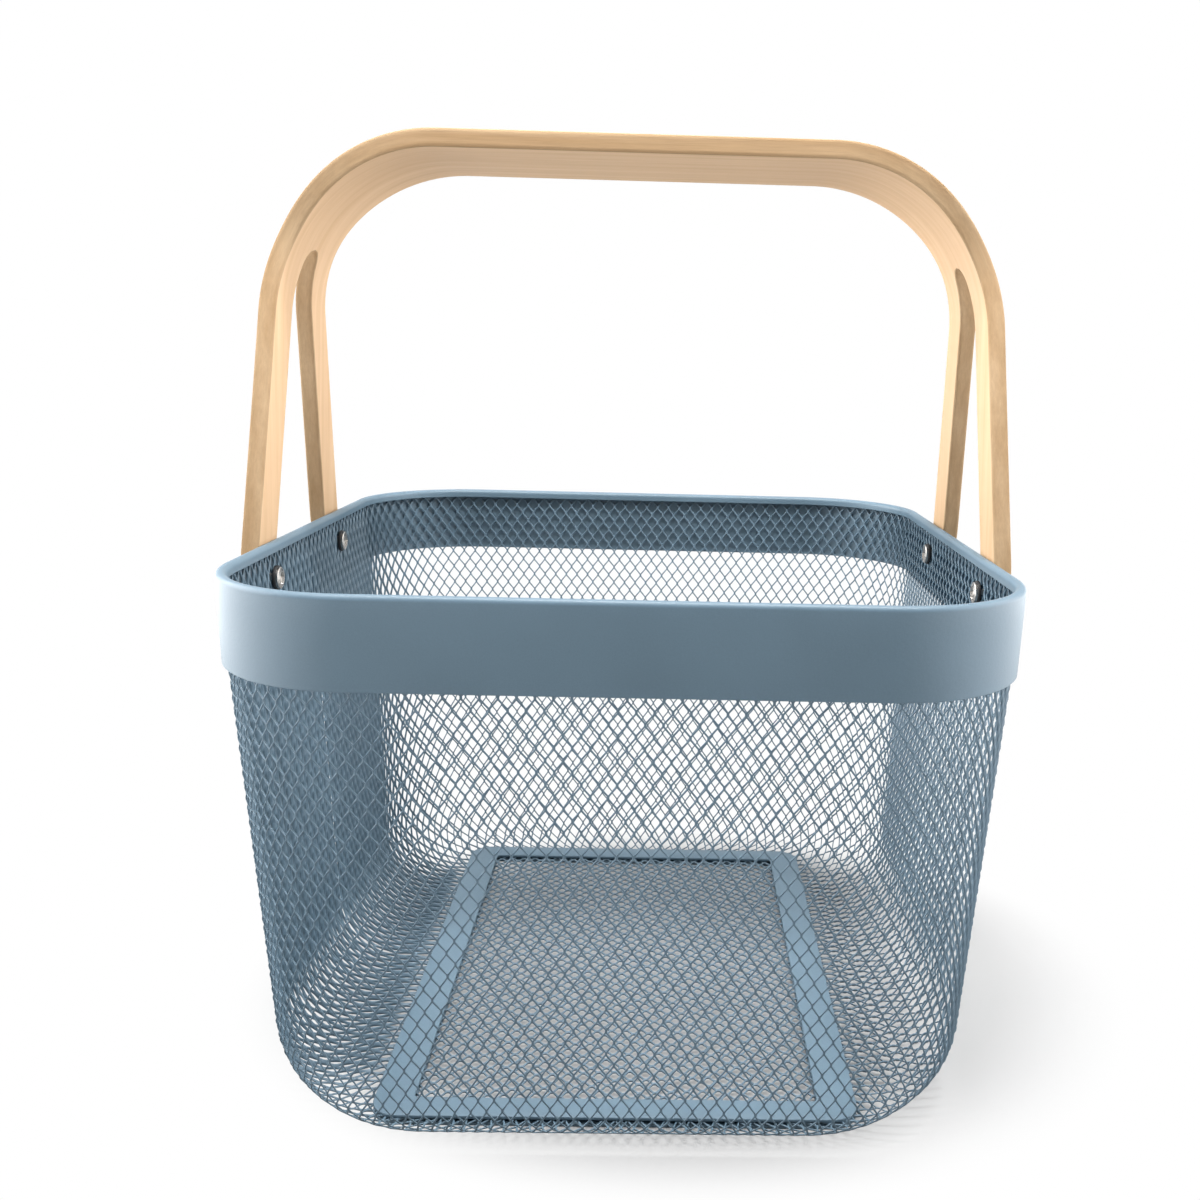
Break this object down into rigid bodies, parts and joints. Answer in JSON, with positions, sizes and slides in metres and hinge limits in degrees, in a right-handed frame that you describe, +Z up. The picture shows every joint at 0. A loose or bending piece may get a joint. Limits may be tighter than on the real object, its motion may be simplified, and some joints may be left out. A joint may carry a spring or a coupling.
{
  "type": "wire produce basket",
  "caption": "Open produce basket of powder-coated expanded steel mesh with a sheet-steel rim band and a fixed bent birch handle split into two legs on each side.",
  "frame": {"origin": "centre of the footprint on the table, at the height of the foot frame's underside", "axes": "+X to the basket's right, from one pair of handle legs to the other; +Y from the front to the rear; +Z up"},
  "size_m": [0.2634, 0.258, 0.3158],
  "materials": {
    "coated_mesh": "satin powder coat, blue-grey",
    "coated_band": "satin powder coat, blue-grey",
    "coated_strip": "satin powder coat, blue-grey",
    "birch_veneer": "clear-lacquered birch veneer",
    "birch_core": "clear-lacquered birch, cut edge of the laminations",
    "zinc_screw": "bright zinc plating",
    "black_washer": "matt black nylon"
  },
  "bodies": {
    "root": {"mesh_front_half": "coated_mesh", "mesh_rear_half": "coated_mesh", "mesh_floor_panel": "coated_mesh", "rim_band": "coated_band", "rim_wire": "coated_band", "floor_frame": "coated_strip", "foot_frame": "coated_strip", "handle_core": "birch_core", "handle_outer_veneer": "birch_veneer", "handle_inner_veneer": "birch_veneer", "screw_front_left": "zinc_screw", "screw_front_right": "zinc_screw", "screw_rear_left": "zinc_screw", "screw_rear_right": "zinc_screw", "washer_front_left": "black_washer", "washer_front_right": "black_washer", "washer_rear_left": "black_washer", "washer_rear_right": "black_washer", "sleeve_nut_front_left": "zinc_screw", "sleeve_nut_front_right": "zinc_screw", "sleeve_nut_rear_left": "zinc_screw", "sleeve_nut_rear_right": "zinc_screw"}
  },
  "joints": []
}
